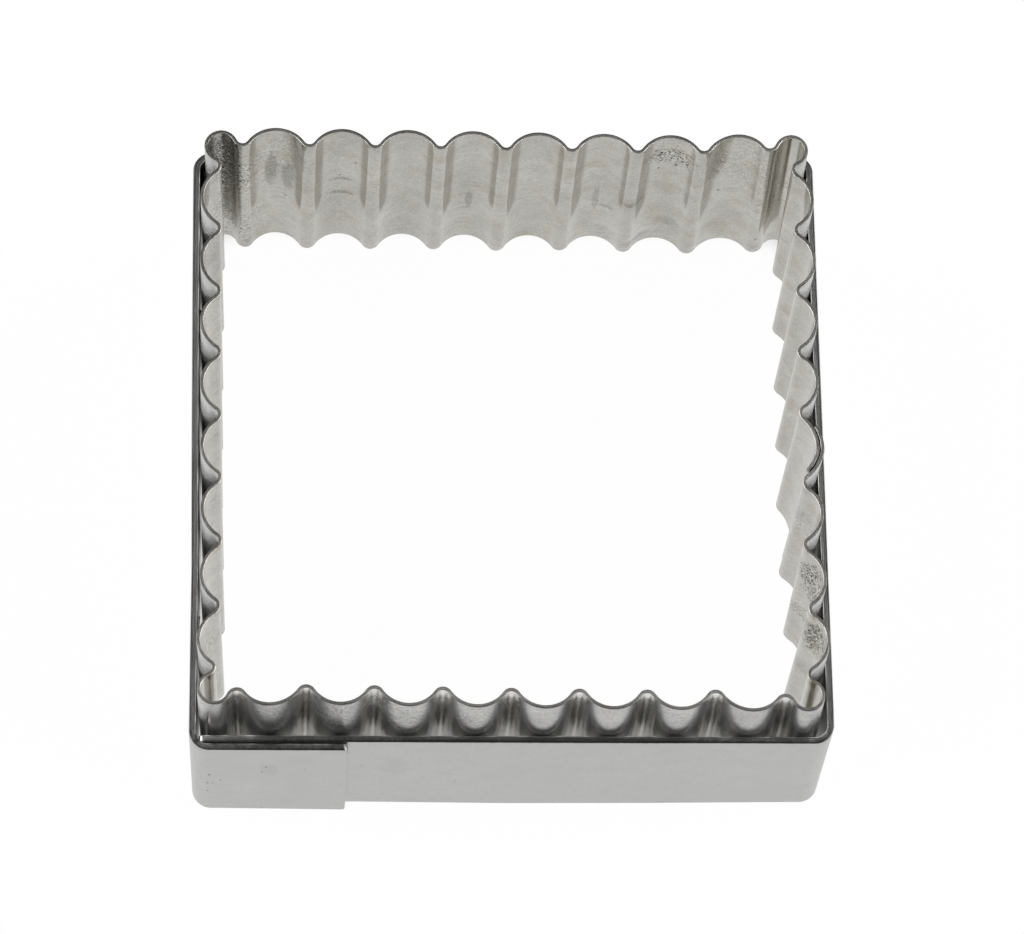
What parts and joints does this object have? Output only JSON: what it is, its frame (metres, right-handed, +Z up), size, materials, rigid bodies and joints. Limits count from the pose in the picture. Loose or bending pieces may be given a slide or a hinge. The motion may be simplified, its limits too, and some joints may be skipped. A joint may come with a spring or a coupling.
{
  "type": "fluted dough cutter",
  "caption": "Square pastry cutter: a corrugated steel blade bent to a square, spot-welded inside a plain steel band that it stands above, for stamping scalloped shapes out of rolled dough.",
  "frame": {"origin": "middle of the overall box, on the plane that the plain edge stands on", "axes": "+Z up towards the fluted cutting edge; the wall with the band's lapped ends faces -Y"},
  "size_m": [0.062, 0.0632, 0.025],
  "materials": {
    "band_steel": "satin cold-rolled stainless sheet",
    "blade_steel": "bright thin stainless strip, scuffed by forming",
    "weld_metal": "dull heat-tinted weld"
  },
  "bodies": {
    "root": {"outer_band": "band_steel", "fluted_blade": "blade_steel", "wall_weld_right_1": "weld_metal", "wall_weld_right_2": "weld_metal", "wall_weld_back_1": "weld_metal", "wall_weld_back_2": "weld_metal", "wall_weld_left_1": "weld_metal", "wall_weld_left_2": "weld_metal", "wall_weld_front_1": "weld_metal", "wall_weld_front_2": "weld_metal", "band_lap_weld_lower": "weld_metal", "band_lap_weld_upper": "weld_metal", "blade_lap_weld_lower": "weld_metal", "blade_lap_weld_upper": "weld_metal"}
  },
  "joints": []
}
